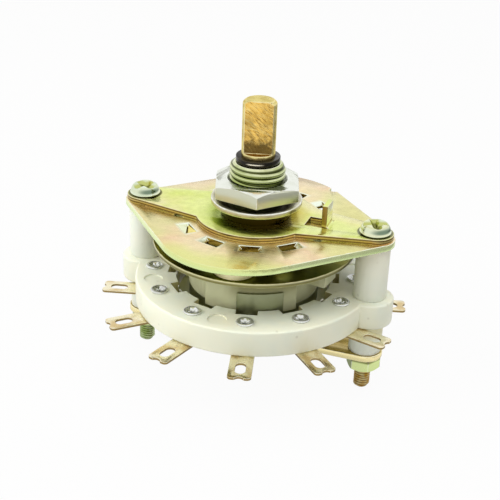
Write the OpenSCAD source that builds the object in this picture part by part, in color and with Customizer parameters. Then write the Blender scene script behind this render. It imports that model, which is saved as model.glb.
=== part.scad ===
// Rotary wafer switch with one moulded wafer, a sprung detent and a threaded panel bushing.
// The shaft points up, the two tie screws lie on the X axis, and z = 0 is the bushing plate's top.

/* [Shaft] */
// Diameter of the shaft
shaft_d = 6; // [5:0.1:6.6]
// Height of the shaft's tip above the bushing plate
shaft_reach = 21; // [16:0.5:40]
// Depth of the knob flat, from the shaft's side
flat_depth = 1.4; // [0.6:0.1:1.8]
// Length of the knob flat, from the tip
flat_length = 9.4; // [4:0.2:9.6]
// Direction that the knob flat faces at rest
flat_angle = 285; // [0:15:345]
// Chamfer at the tip
tip_chamfer = 0.5; // [0.2:0.1:1]
// Step from the shaft out to the collar that presses on the detent spring
collar_step = 1.5; // [0.8:0.1:2]
// Depth of each of the two driving flats
drive_depth = 0.8; // [0.5:0.1:1]
// Step from the driving flats in to the rear journal
tail_step = 0.4; // [0.2:0.1:0.6]
// Length of the journal that stands past the rear strap
tail_past = 0.8; // [0.2:0.1:3]
// Radial running clearance of the shaft in its bearings
running_clearance = 0.05; // [0.02:0.01:0.1]
// Radial clearance of pieces that are pushed on or through another
push_clearance = 0.04; // [0.02:0.01:0.1]
// End play of the shaft in the bushing, at each end
end_play = 0.12; // [0.05:0.01:0.3]

/* [Shaft clip] */
// Height of the clip's rim above the shaft
clip_stand = 0.94; // [0.5:0.02:1.2]
// Thickness of the clip
clip_t = 1; // [0.5:0.05:1.2]
// Depth of the groove that the clip snaps into
groove_depth = 0.6; // [0.4:0.1:0.9]
// Width of the clip's open side
clip_mouth = 4.2; // [3:0.1:4.6]

/* [Bushing] */
// Wall of the bushing, from its bore to the root of the thread
bushing_wall = 1.55; // [1.3:0.05:3]
// Depth of the thread
thread_depth = 0.4; // [0.2:0.05:0.6]
// Height of the bushing's rim above the bushing plate
bushing_reach = 9.75; // [8:0.05:15]
// Step from the thread out to the shoulder that the washer lies on
shoulder_step = 1.3; // [0.6:0.1:2.5]
// Height of the shoulder
shoulder_h = 2; // [0.5:0.1:3]
// Wall of the spigot that passes through both plates
spigot_wall = 1.45; // [0.8:0.05:2]
// Width of the rolled lip under the index plate
rolled_lip = 0.8; // [0.4:0.1:1.5]
// Height of the rolled end
rolled_h = 0.45; // [0.3:0.05:0.6]
// Chamfer on the rim
rim_chamfer = 0.45; // [0.1:0.05:0.5]

/* [Panel nut and washer] */
// Wall of the panel nut, from the thread to a flat
nut_wall = 2.3; // [1.6:0.1:3.5]
// Thickness of the panel nut
nut_t = 2.8; // [1.8:0.1:4]
// Height of the nut above the washer
nut_lift = 0.9; // [0:0.1:2]
// Width of the countersink round the nut's hole
nut_countersink = 0.8; // [0.2:0.1:1]
// Direction of one corner of the nut
nut_turn = 289; // [0:1:360]
// Slope of the chamfer on the nut's corners
nut_chamfer_angle = 30; // [15:1:40]
// Width of the washer's ring
washer_w = 2.95; // [1.6:0.05:5]
// Thickness of the washer
washer_t = 1; // [0.6:0.1:1.6]
// Radial clearance of the washer round the thread
washer_clearance = 0.25; // [0.1:0.05:0.5]

/* [Bushing plate] */
// Thickness of the sheet
plate_t = 1; // [0.8:0.1:1.5]
// Diameter of the round middle
hub_d = 22; // [18:0.5:25]
// Width that the two arms would have at the axis
arm_root_w = 16; // [12:0.5:20]
// Diameter of the arms' round ends
arm_end_d = 6.6; // [6.2:0.1:8]
// Width of the locating tab
tab_w = 3.6; // [2:0.1:5]
// Height of the locating tab above the plate
tab_h = 4; // [2:0.1:6]
// Distance of the tab's inner face from the axis
tab_x = 12.7; // [11:0.1:14]
// Inside radius of the tab's bend
tab_bend_r = 0.4; // [0.2:0.05:0.8]
// Gap that the cut leaves beside the tab
tab_relief = 0.2; // [0.1:0.05:0.5]

/* [Index plate] */
// Thickness of the sheet
index_t = 1.2; // [0.8:0.1:1.6]
// Reach of the plate's front and back edges past the detent disc
belly_margin = 3.1; // [1.5:0.1:5]
// Radius of the front and back edges
belly_r = 15; // [12:0.5:19]
// Diameter of the round ends
index_end_d = 7.2; // [6.4:0.1:9]
// Number of switch positions in a full turn
positions = 12; // [6:1:12]
// Diameter of the circle of detent windows
index_pcd = 27; // [25:0.2:29]
// Length of a window round the circle
window_len = 2.8; // [2:0.1:4.4]
// Width of a window
window_w = 2.2; // [1.6:0.1:2.8]
// Length of the coined ramp at each end of a window
ramp_len = 0.6; // [0.3:0.1:1]
// Depth of the coined ramp
ramp_depth = 0.7; // [0.3:0.1:0.8]
// Radius of the assembly notch in the back edge
edge_notch_r = 0.9; // [0.5:0.1:1.5]
// Place of the assembly notch, measured round the back edge
edge_notch_angle = 50; // [45:1:80]

/* [Tie screws] */
// Distance between the two tie screws
screw_spacing = 44; // [42:0.5:50]
// Diameter of the screws' thread
screw_d = 3; // [2.5:0.1:3.2]
// Depth of the screws' thread, which is drawn at its root inside the nuts
screw_thread_depth = 0.3; // [0.2:0.05:0.4]
// Step from the rolled thread in to the plain shank
shank_step = 0.18; // [0.17:0.01:0.3]
// Diameter of the screw heads
head_d = 5.6; // [5:0.1:6.2]
// Height of the screw heads
head_h = 1.9; // [1.4:0.1:2.4]
// Radius of the heads' rounded edge
head_round = 1; // [0.5:0.1:1.2]
// Length of the cross recess
cross_len = 3; // [2:0.1:3.6]
// Length of the longer slot across a head
slot_len = 4.4; // [3:0.1:4.8]
// Width of the cross recess
cross_w = 0.7; // [0.5:0.05:1]
// Depth of the cross recess
cross_depth = 1.1; // [0.6:0.1:1.3]
// Length of each screw past its nut
screw_past = 4.4; // [1:0.1:8]
// Chamfer on the screws' ends
screw_chamfer = 0.35; // [0.2:0.05:0.5]
// Distance across the flats of the tie nuts
tie_nut_af = 5.5; // [5:0.1:6.4]
// Thickness of the tie nuts
tie_nut_t = 2.4; // [1.6:0.1:3]
// Radial clearance round the screws
screw_clearance = 0.1; // [0.05:0.05:0.25]

/* [Spacers and rear strap] */
// Diameter of the spacers
spacer_d = 6; // [5.4:0.1:6.4]
// Length of the upper spacers
upper_spacer_h = 10.2; // [9.4:0.1:16]
// Length of the lower spacers
lower_spacer_h = 6.2; // [4:0.1:12]
// Width of the rear strap
strap_w = 6.6; // [6.2:0.1:9]
// Thickness of the rear strap
strap_t = 1.2; // [0.8:0.1:2]

/* [Wafer] */
// Thickness of the wafer
wafer_t = 4.8; // [4.2:0.1:6]
// Diameter of the two screw lugs
lug_d = 8.8; // [8:0.1:10]
// Diameter inside the teeth
tooth_d = 28.8; // [24:0.1:32]
// Depth of the contact slots, from the teeth outward
slot_depth = 1.4; // [1:0.1:3]
// Distance from a slot's end out to its rivet
rivet_land = 2.9; // [2.4:0.1:5]
// Distance from the rivets out to the ring's edge
ring_land = 3.2; // [2.4:0.1:5]
// Width of the contact slots
slot_w = 3.8; // [3:0.1:4.4]
// Radius of the ring's top and bottom edges
wafer_round = 0.4; // [0.2:0.1:1.5]
// Diameter of the moulded dimples between the rivets
dimple_d = 3.4; // [1.5:0.1:4.5]
// Depth of the dimples
dimple_depth = 0.25; // [0.1:0.05:0.8]

/* [Terminals and rivets] */
// Diameter of a rivet's barrel
rivet_d = 2.2; // [1.8:0.1:2.6]
// Diameter of the hole through a rivet
rivet_bore_d = 1.5; // [1:0.1:1.6]
// Diameter of a rivet's rolled rim
rivet_rim_d = 3.2; // [2.8:0.1:3.8]
// Height of a rivet's rolled rim
rivet_rim_h = 0.45; // [0.3:0.05:0.7]
// Length of the tags past the wafer's ring
tag_out = 6.5; // [5:0.1:12]
// Width of the tags
tag_w = 4; // [3:0.1:4.6]
// Thickness of the terminals
terminal_t = 0.45; // [0.3:0.05:0.7]
// Length of a tag's solder hole
tag_hole_len = 3.2; // [2:0.1:3.6]
// Width of a tag's solder hole
tag_hole_w = 1.8; // [1.2:0.1:2.2]
// Distance of a solder hole's middle from the wafer's ring
tag_hole_out = 3.5; // [2.4:0.1:8]
// Radius of the round notch in a tag's end
tag_notch_r = 0.9; // [0.5:0.1:1.6]
// Radius of a tag's corners
tag_corner_r = 0.7; // [0.3:0.1:1]
// Width of the contact finger
finger_w = 1.8; // [1.2:0.1:3]
// Height of the contact finger above the terminal
finger_h = 3.8; // [2.5:0.1:4.2]
// Gap between the fingers and the rotor's contact shoe
finger_gap = 0.2; // [0.1:0.05:0.4]
// Inside radius of the finger's bend
finger_bend_r = 0.35; // [0.2:0.05:0.6]

/* [Detent] */
// Gap between the index plate and the detent disc
detent_gap = 2.8; // [2.4:0.1:4]
// Gap between the detent disc and the spacers
disc_clearance = 0.4; // [0.3:0.1:2]
// Thickness of the detent disc
detent_t = 0.8; // [0.5:0.1:1.2]
// Thickness of the leaf spring
spring_t = 0.35; // [0.2:0.05:0.5]
// Width of the leaf spring
spring_w = 6.6; // [5:0.1:8]
// Distance of the leaf's ends from the disc's edge
spring_inset = 0.7; // [0.4:0.1:2]
// Direction of the leaf spring at rest
spring_angle = 276; // [270:1:300]
// Diameter of the leaf's round middle
spring_hub_d = 14; // [11:0.1:18]
// Diameter of the two balls
ball_d = 2.5; // [2:0.1:2.6]
// Diameter of the holes that the balls sit in
ball_seat_d = 1.4; // [1:0.1:1.8]
// Clearance of a ball at the edge of its seat
ball_clearance = 0.02; // [0.01:0.01:0.05]

/* [Rotor] */
// Radial taper of the drum, from the detent disc to the contact band
drum_taper = 0.4; // [0:0.1:1.2]
// Depth of the block that carries the contact shoe, from the drum outward
carrier_depth = 1.56; // [0.6:0.02:2.4]
// Directions of the two ends of the carrier at rest
carrier_ends = [250, 323]; // [0:1:360]
// Length of the drum past the wafer
drum_past = 1; // [0.2:0.1:3]
// Wall of the hub round the shaft
hub_wall = 1.8; // [1.2:0.1:3]
// Thickness of the drum's wall
drum_wall = 1.8; // [1.2:0.1:2.4]
// Thickness of the drum's top
drum_top_t = 4; // [2.5:0.1:5]
// Number of ribs inside the drum
drum_ribs = 6; // [3:1:8]
// Thickness of the ribs
rib_t = 1.2; // [0.8:0.1:2]
// Distance of the ribs from the drum's lower end
rib_recess = 0.6; // [0.2:0.1:2]
// Length of the stop ear, from the drum outward
ear_len = 2.9; // [1:0.1:4]
// Width of the stop ear
ear_w = 5; // [3:0.1:8]
// Gap between the stop ear and the wafer
ear_gap = 2; // [0.5:0.1:4]
// Direction of the stop ear at rest
ear_angle = 352; // [0:1:360]
// Thickness of the rotor's contact band
band_t = 0.5; // [0.3:0.05:0.8]
// Height of the contact band
band_h = 2.6; // [1.5:0.1:3]
// Directions of the two ends of the contact shoe at rest
shoe_ends = [277, 311]; // [0:1:360]
// Height of the contact shoe above the wafer
shoe_rise = 3; // [0:0.1:4]
// Clearance of the contact shoe inside the wafer's teeth
shoe_clearance = 0.3; // [0.2:0.05:0.6]

/* [Hidden] */
$fn = 96;
terminal_names = [for (i = [1 : positions]) str("terminal_", i < 10 ? "0" : "", i)];

// Angles of the terminals and of the detent windows
pitch = 360 / positions;
first_angle = pitch / 2;
ball_angle = first_angle + 9 * pitch;

// Heights of the stack, from the bushing plate's top downward
index_top = -plate_t;
index_bottom = index_top - index_t;
wafer_top = index_bottom - upper_spacer_h;
wafer_bottom = wafer_top - wafer_t;
strap_top = wafer_bottom - lower_spacer_h;
strap_bottom = strap_top - strap_t;
tie_nut_bottom = strap_bottom - tie_nut_t;
screw_end = tie_nut_bottom - screw_past;
terminal_bottom = wafer_bottom - terminal_t;

// Heights of the turning pieces
disc_top = index_bottom - detent_gap;
disc_bottom = disc_top - detent_t;
spring_top = disc_top + spring_t;
drum_bottom = wafer_bottom - drum_past;
collar_top = index_bottom - rolled_h - end_play;
tail_bottom = strap_bottom - tail_past;
clip_bottom = bushing_reach + end_play;
clip_top = clip_bottom + clip_t;

// The shaft and what it runs in
flat_offset = shaft_d / 2 - flat_depth;
collar_d = shaft_d + 2 * collar_step;
drive_flats = shaft_d - 2 * drive_depth;
tail_d = drive_flats - 2 * tail_step;
tail_bore_d = tail_d + 2 * running_clearance;
groove_d = shaft_d - 2 * groove_depth;
clip_d = shaft_d + 2 * clip_stand;
bore_d = shaft_d + 2 * running_clearance;
thread_root_d = bore_d + 2 * bushing_wall;
thread_d = thread_root_d + 2 * thread_depth;
shoulder_d = thread_d + 2 * shoulder_step;
spigot_d = bore_d + 2 * spigot_wall;
rolled_d = spigot_d + 2 * rolled_lip;
spigot_hole_d = spigot_d + 2 * push_clearance;

// What goes on the thread
washer_bore_d = thread_d + 2 * washer_clearance;
washer_d = washer_bore_d + 2 * washer_w;
washer_bottom = shoulder_h;
nut_af = thread_d + 2 * nut_wall;
nut_bore_d = thread_root_d + 2 * push_clearance;
nut_bottom = washer_bottom + washer_t + nut_lift;

// What stands on the tie screws, and what turns between them
screw_x = screw_spacing / 2;
screw_hole_d = screw_d + 2 * screw_clearance;
screw_root_d = screw_d - 2 * screw_thread_depth;
shank_d = screw_d - 2 * shank_step;
detent_d = screw_spacing - spacer_d - 2 * disc_clearance;
spring_reach = detent_d / 2 - spring_inset;
belly_reach = detent_d / 2 + belly_margin;
belly = [0, belly_reach - belly_r];
side_inset = 0.01;

// The wafer from its teeth outward
tooth_r = tooth_d / 2;
slot_end_r = tooth_r + slot_depth;
rivet_r = slot_end_r + rivet_land;
wafer_r = rivet_r + ring_land;
tag_reach = wafer_r + tag_out;
tag_hole_at = wafer_r + tag_hole_out;
rivet_hole_d = rivet_d + 2 * push_clearance;
lug_neck_w = lug_d - 3 * wafer_round;
dimple_angles = [30, 90, 210, 270];

// The rotor from the wafer's teeth inward
shoe_r = tooth_r - shoe_clearance;
finger_r = shoe_r + finger_gap;
carrier_r = shoe_r - band_t - push_clearance;
drum_low_d = 2 * (carrier_r - carrier_depth);
drum_d = drum_low_d + 2 * drum_taper;
neck_d = drum_low_d - 2 * band_t;
rotor_hub_d = shaft_d + 2 * hub_wall;
ear_reach = drum_d / 2 + ear_len;
ear_bottom = wafer_top + ear_gap;
shoe_top = wafer_top + shoe_rise;
band_top = wafer_top - (wafer_t - band_h) / 2;
band_bottom = band_top - band_h;
ball_rise = sqrt(pow(ball_d / 2, 2) - pow(ball_seat_d / 2, 2)) + ball_clearance;

// Direction square to the line that touches two circles on their outer side
function side_angle(from, r_from, to, r_to) =
    let (step = to - from)
    atan2(step.y, step.x) - acos((r_from - r_to) / norm(step));

// A point on a circle
function on_circle(centre, r, angle) = centre + r * [cos(angle), sin(angle)];

module at_screws() {
    for (side = [-1, 1])
        translate([side * screw_x, 0, 0]) children();
}

module at_positions() {
    for (i = [0 : positions - 1])
        rotate(first_angle + i * pitch) children();
}

// A cylinder between two heights
module rod(d, low, high) {
    translate([0, 0, low]) cylinder(d = d, h = high - low);
}

// A drawn outline given the thickness between two heights
module sheet(low, high) {
    translate([0, 0, low]) linear_extrude(high - low) children();
}

// A slot with round ends along X, centred on the origin
module slot_outline(length, width) {
    square([length - width, width], center = true);
    for (side = [-1, 1])
        translate([side * (length - width) / 2, 0]) circle(d = width);
}

// A slice of a circle between two directions less than 120 degrees apart
module slice_outline(r, ends) {
    intersection() {
        circle(r = r);
        polygon([[0, 0], on_circle([0, 0], 2 * r, ends[0]), on_circle([0, 0], 2 * r, ends[1])]);
    }
}

// Half the section of a round piece whose upper outer edge is rounded
module rounded_section(r, h, round_r) {
    square([r - round_r, h]);
    square([r, h - round_r]);
    intersection() {
        translate([r - round_r, h - round_r]) circle(r = round_r);
        square([r, h]);
    }
}

// A round bar with two driving flats
module drive_outline(clearance) {
    rotate(flat_angle)
        intersection() {
            circle(d = shaft_d + 2 * clearance);
            square([2 * shaft_d, drive_flats + 2 * clearance], center = true);
        }
}

module shaft() {
    color("#b9a36b")
    difference() {
        union() {
            rod(shaft_d, collar_top, shaft_reach - tip_chamfer);
            translate([0, 0, shaft_reach - tip_chamfer])
                cylinder(d1 = shaft_d, d2 = shaft_d - 2 * tip_chamfer, h = tip_chamfer);
            rod(collar_d, spring_top, collar_top);
            rod(shaft_d, disc_top, spring_top);
            sheet(drum_bottom, disc_top) drive_outline(0);
            rod(tail_d, tail_bottom, drum_bottom);
        }
        rotate(flat_angle)
            translate([flat_offset, -shaft_d, shaft_reach - flat_length])
                cube([shaft_d, 2 * shaft_d, flat_length + 1]);
        difference() {
            rod(2 * shaft_d, clip_bottom - end_play / 2, clip_top);
            rod(groove_d, clip_bottom - 1, clip_top + 1);
        }
    }
}

module shaft_clip() {
    color("#1d1d1f")
    sheet(clip_bottom, clip_top) rotate(flat_angle)
        difference() {
            circle(d = clip_d);
            circle(d = groove_d + 2 * push_clearance);
            translate([-clip_d, -clip_mouth / 2]) square([clip_d, clip_mouth]);
        }
}

module bushing() {
    rim_top_d = thread_root_d - 2 * rim_chamfer;
    color("#c3cba0")
    difference() {
        union() {
            rod(rolled_d, index_bottom - rolled_h, index_bottom);
            rod(spigot_d, index_bottom, 0);
            rod(shoulder_d, 0, shoulder_h);
            rod(thread_root_d, shoulder_h, bushing_reach - rim_chamfer);
            translate([0, 0, bushing_reach - rim_chamfer])
                cylinder(d1 = thread_root_d, d2 = rim_top_d, h = rim_chamfer);
        }
        rod(bore_d, index_bottom - 1, bushing_reach + 1);
    }
}

// A hexagon nut whose corners are chamfered on top, and also below where asked
module hex_nut(af, t, bore, chamfer_below) {
    corner_r = af / 2 / cos(30);
    drop = (corner_r - af / 2) * tan(nut_chamfer_angle);
    low = chamfer_below ? drop : 0;
    difference() {
        intersection() {
            cylinder(r = corner_r, h = t, $fn = 6);
            rotate_extrude()
                polygon([[0, 0], [chamfer_below ? af / 2 : corner_r + 1, 0], [corner_r + (low > 0 ? 0 : 1), low],
                         [corner_r, t - drop], [af / 2, t], [0, t]]);
        }
        rod(bore, -1, t + 1);
    }
}

module panel_nut() {
    color("#d9dcdd")
    translate([0, 0, nut_bottom]) rotate(nut_turn)
        difference() {
            hex_nut(nut_af, nut_t, nut_bore_d, false);
            translate([0, 0, nut_t - nut_countersink])
                cylinder(d1 = nut_bore_d, d2 = nut_bore_d + 2 * nut_countersink, h = nut_countersink);
        }
}

module panel_washer() {
    color("#d3d2c6")
    sheet(washer_bottom, washer_bottom + washer_t)
        difference() {
            circle(d = washer_d);
            circle(d = washer_bore_d);
        }
}

// One arm of the bushing plate, from the axis to a screw
module arm_outline() {
    end = arm_end_d / 2;
    root = arm_root_w / 2;
    polygon([[0, root], [screw_x, end], [screw_x, -end], [0, -root]]);
    translate([screw_x, 0]) circle(r = end);
}

// The locating tab's section along X: a quarter bend and an upright
module tab_section() {
    outer_r = tab_bend_r + plate_t;
    translate([tab_x + outer_r, tab_bend_r])
        difference() {
            intersection() {
                circle(r = outer_r);
                translate([-outer_r, -outer_r]) square(outer_r);
            }
            circle(r = tab_bend_r);
        }
    translate([tab_x, tab_bend_r]) square([plate_t, tab_h - tab_bend_r]);
}

module bushing_plate() {
    bend_end = tab_x + plate_t + tab_bend_r;
    window_start = tab_x + plate_t - tab_h;
    color("#c9cd9a")
    union() {
        sheet(-plate_t, 0)
            difference() {
                union() {
                    circle(d = hub_d);
                    arm_outline();
                    mirror([1, 0]) arm_outline();
                }
                circle(d = spigot_hole_d);
                at_screws() circle(d = screw_hole_d);
                translate([window_start, -tab_w / 2 - tab_relief])
                    square([bend_end - window_start, tab_w + 2 * tab_relief]);
            }
        translate([0, tab_w / 2, 0]) rotate([90, 0, 0]) linear_extrude(tab_w) tab_section();
    }
}

// The index plate's outline: two round ends, round front and back edges and straight sides
module index_outline() {
    tip = [screw_x, 0];
    tip_r = index_end_d / 2;
    side = side_angle(tip, tip_r, belly, belly_r);
    a = on_circle(tip, tip_r - side_inset, side);
    b = on_circle(belly, belly_r - side_inset, side);
    polygon([a, b, [-b.x, b.y], [-a.x, a.y], -a, -b, [b.x, -b.y], [a.x, -a.y]]);
    at_screws() circle(r = tip_r);
    for (end = [-1, 1])
        translate(end * belly) circle(r = belly_r);
}

// A window whose ends slope down to it
module detent_window() {
    half = window_len / 2;
    translate([index_pcd / 2 + window_w / 2, 0, index_top])
        rotate([90, 0, -90])
            linear_extrude(window_w)
                polygon([[-half, -2 * index_t], [half, -2 * index_t], [half, -ramp_depth],
                         [half + ramp_len, 0], [half + ramp_len, 1], [-half - ramp_len, 1],
                         [-half - ramp_len, 0], [-half, -ramp_depth]]);
}

module index_plate() {
    color("#cbb59a")
    difference() {
        sheet(index_bottom, index_top)
            difference() {
                index_outline();
                circle(d = spigot_hole_d);
                at_screws() circle(d = screw_hole_d);
                translate(on_circle(belly, belly_r, edge_notch_angle)) circle(r = edge_notch_r);
            }
        at_positions() detent_window();
    }
}

module detent_disc() {
    color("#6d6b48")
    sheet(disc_bottom, disc_top)
        difference() {
            circle(d = detent_d);
            drive_outline(push_clearance);
        }
}

module at_balls() {
    for (half_turn = [0, 180])
        rotate(ball_angle + half_turn) translate([index_pcd / 2, 0, 0]) children();
}

module detent_spring() {
    color("#d8cf9c")
    sheet(disc_top, spring_top)
        difference() {
            union() {
                rotate(spring_angle) slot_outline(2 * spring_reach, spring_w);
                circle(d = spring_hub_d);
            }
            circle(d = shaft_d + 2 * push_clearance);
            at_balls() circle(d = ball_seat_d);
        }
}

module detent_balls() {
    color("#c8c8c8")
    at_balls() translate([0, 0, spring_top + ball_rise]) sphere(d = ball_d);
}

// The rotor's outside: a tapered drum, the neck that the contact band sits round, and the flange under the band
module drum_outside() {
    rotate_extrude()
        polygon([[0, disc_bottom], [drum_d / 2, disc_bottom], [drum_low_d / 2, band_top],
                 [neck_d / 2, band_top], [neck_d / 2, band_bottom], [shoe_r, band_bottom],
                 [shoe_r, drum_bottom], [0, drum_bottom]]);
}

module rotor() {
    hollow_top = disc_bottom - drum_top_t;
    hollow_r = neck_d / 2 - drum_wall;
    rib_start = (shaft_d + rotor_hub_d) / 4;
    color("#ece6d4")
    difference() {
        union() {
            difference() {
                drum_outside();
                rod(2 * hollow_r, drum_bottom - 1, hollow_top);
            }
            sheet(band_top, disc_bottom)
                difference() {
                    slice_outline(carrier_r, carrier_ends);
                    circle(r = hollow_r);
                }
            rod(rotor_hub_d, drum_bottom, disc_bottom);
            for (i = [0 : drum_ribs - 1])
                rotate(ear_angle + i * 360 / drum_ribs)
                    translate([rib_start, -rib_t / 2, drum_bottom + rib_recess])
                        cube([hollow_r + drum_wall / 2 - rib_start, rib_t, hollow_top - drum_bottom]);
            rotate(ear_angle)
                translate([hollow_r, -ear_w / 2, ear_bottom])
                    cube([ear_reach - hollow_r, ear_w, disc_bottom - ear_bottom]);
        }
        sheet(drum_bottom - 1, disc_bottom + 1) drive_outline(push_clearance);
    }
}

module rotor_contact() {
    color("#b5b5ae")
    union() {
        sheet(band_bottom, band_top)
            difference() {
                union() {
                    circle(d = drum_low_d);
                    slice_outline(shoe_r, shoe_ends);
                }
                circle(d = neck_d + 2 * push_clearance);
            }
        sheet(band_bottom, shoe_top)
            difference() {
                slice_outline(shoe_r, shoe_ends);
                circle(r = shoe_r - band_t);
            }
    }
}

module wafer() {
    color("#efe9d8")
    difference() {
        union() {
            translate([0, 0, wafer_bottom]) rotate_extrude() wafer_section(wafer_r);
            at_screws() translate([0, 0, wafer_bottom]) rotate_extrude() wafer_section(lug_d / 2);
            sheet(wafer_bottom, wafer_top) square([screw_spacing, lug_neck_w], center = true);
        }
        rod(tooth_d, wafer_bottom - 1, wafer_top + 1);
        sheet(wafer_bottom - 1, wafer_top + 1) {
            at_screws() circle(d = screw_hole_d);
            at_positions() {
                translate([0, -slot_w / 2]) square([slot_end_r, slot_w]);
                translate([rivet_r, 0]) circle(d = rivet_hole_d);
            }
        }
        sheet(wafer_top - dimple_depth, wafer_top + 1)
            for (angle = dimple_angles)
                rotate(angle) translate([rivet_r, 0]) circle(d = dimple_d);
    }
}

// Half the section of a round piece of the wafer, rounded at both outer edges
module wafer_section(r) {
    intersection() {
        rounded_section(r, wafer_t, wafer_round);
        translate([0, wafer_t]) mirror([0, 1]) rounded_section(r, wafer_t, wafer_round);
    }
}

// A tube between two heights, bored for a tie screw
module spacer(side, low, high) {
    color("#f0ecdf")
    translate([side * screw_x, 0, 0])
        difference() {
            rod(spacer_d, low, high);
            rod(screw_hole_d, low - 1, high + 1);
        }
}

module rear_strap() {
    color("#c8bd74")
    sheet(strap_bottom, strap_top)
        difference() {
            slot_outline(screw_spacing + strap_w, strap_w);
            circle(d = tail_bore_d);
            at_screws() circle(d = screw_hole_d);
        }
}

module tie_screws() {
    color("#b9c39a")
    at_screws()
        difference() {
            union() {
                rotate_extrude() rounded_section(head_d / 2, head_h, head_round);
                rod(shank_d, strap_bottom, 0);
                rod(screw_root_d, tie_nut_bottom, strap_bottom);
                rod(screw_d, screw_end + screw_chamfer, tie_nut_bottom);
                translate([0, 0, screw_end])
                    cylinder(d1 = screw_d - 2 * screw_chamfer, d2 = screw_d, h = screw_chamfer);
            }
            sheet(head_h - cross_depth, head_h + 1) {
                square([cross_len, cross_w], center = true);
                square([cross_w, slot_len], center = true);
            }
        }
}

module tie_nuts() {
    color("#c3cf8e")
    at_screws()
        translate([0, 0, tie_nut_bottom])
            hex_nut(tie_nut_af, tie_nut_t, screw_root_d + 2 * push_clearance, true);
}

// Half the section of a hollow rivet with a rolled rim at each end
module rivet_section() {
    barrel_r = rivet_d / 2;
    wall = (rivet_d - rivet_bore_d) / 2;
    roll_r = rivet_rim_h / 2;
    translate([rivet_bore_d / 2, terminal_bottom - rivet_rim_h])
        square([wall, wafer_top - terminal_bottom + 2 * rivet_rim_h]);
    for (low = [terminal_bottom - rivet_rim_h, wafer_top]) {
        translate([barrel_r - wall, low]) square([rivet_rim_d / 2 - roll_r - barrel_r + wall, rivet_rim_h]);
        translate([rivet_rim_d / 2 - roll_r, low + roll_r]) circle(r = roll_r);
    }
}

module terminal_rivets() {
    color("#c9c9c2")
    at_positions()
        translate([rivet_r, 0, 0]) rotate_extrude() rivet_section();
}

// The contact finger's section along X: the strip's end, a quarter bend and an upright
module finger_section() {
    outer_r = finger_bend_r + terminal_t;
    bend_x = finger_r + outer_r;
    translate([bend_x, finger_bend_r])
        difference() {
            intersection() {
                circle(r = outer_r);
                translate([-outer_r, -outer_r]) square(outer_r);
            }
            circle(r = finger_bend_r);
        }
    translate([finger_r, finger_bend_r]) square([terminal_t, finger_h - finger_bend_r]);
    translate([bend_x, -terminal_t]) square([slot_end_r - bend_x + 1, terminal_t]);
}

// The terminal's flat outline: the strip under the wafer and the tag with its solder hole
module tag_outline() {
    strip_start = slot_end_r;
    body_end = tag_reach - tag_corner_r;
    difference() {
        union() {
            translate([strip_start, -tag_w / 2]) square([body_end - strip_start, tag_w]);
            translate([strip_start, tag_corner_r - tag_w / 2])
                square([tag_reach - strip_start, tag_w - 2 * tag_corner_r]);
            for (side = [-1, 1])
                translate([body_end, side * (tag_w / 2 - tag_corner_r)]) circle(r = tag_corner_r);
        }
        translate([tag_reach + tag_notch_r / 2, 0]) circle(r = tag_notch_r);
        translate([tag_hole_at, 0]) slot_outline(tag_hole_len, tag_hole_w);
        translate([rivet_r, 0]) circle(d = rivet_hole_d);
    }
}

module terminal(i) {
    color("#d5c690")
    rotate(first_angle + (i - 1) * pitch)
        union() {
            sheet(terminal_bottom, wafer_bottom) tag_outline();
            translate([0, finger_w / 2, wafer_bottom])
                rotate([90, 0, 0]) linear_extrude(finger_w) finger_section();
        }
}

shaft();
shaft_clip();
bushing();
bushing_plate();
index_plate();
panel_nut();
panel_washer();
detent_disc();
detent_spring();
detent_balls();
rotor();
rotor_contact();
wafer();
spacer(-1, wafer_top, index_bottom);  // upper_spacer_left
spacer(1, wafer_top, index_bottom);  // upper_spacer_right
spacer(-1, strap_top, wafer_bottom);  // lower_spacer_left
spacer(1, strap_top, wafer_bottom);  // lower_spacer_right
rear_strap();
tie_screws();
tie_nuts();
terminal_rivets();
for (i = [1 : positions])
    terminal(i);
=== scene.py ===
import math
from types import SimpleNamespace

import bmesh
import bpy
from mathutils import Matrix, Vector


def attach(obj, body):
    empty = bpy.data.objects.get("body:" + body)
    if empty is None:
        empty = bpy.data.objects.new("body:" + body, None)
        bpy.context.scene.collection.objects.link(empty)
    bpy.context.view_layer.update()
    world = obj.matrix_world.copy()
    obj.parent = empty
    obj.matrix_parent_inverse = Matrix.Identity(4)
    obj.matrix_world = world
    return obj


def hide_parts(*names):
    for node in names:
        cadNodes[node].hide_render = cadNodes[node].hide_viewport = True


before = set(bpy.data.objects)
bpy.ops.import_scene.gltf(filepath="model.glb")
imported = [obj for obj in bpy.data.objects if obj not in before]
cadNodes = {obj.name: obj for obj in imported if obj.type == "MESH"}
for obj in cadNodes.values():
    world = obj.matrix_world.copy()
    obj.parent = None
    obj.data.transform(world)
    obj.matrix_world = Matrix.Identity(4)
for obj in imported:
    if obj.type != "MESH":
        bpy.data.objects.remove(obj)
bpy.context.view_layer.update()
mm = 0.001
scene = bpy.context.scene
scene.view_settings.view_transform = "Standard"
print("frame loaded:", len(cadNodes), "nodes")


# Camera at the photograph's angle

cameraLook = dict(azimuth=19.0, elevation=25.9, roll=2.0, distance=180.4 * mm, lens=72.0, sensor=36,
                  aside=-0.87 * mm, above=-6.97 * mm, clip=(0.01, 10))


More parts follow.
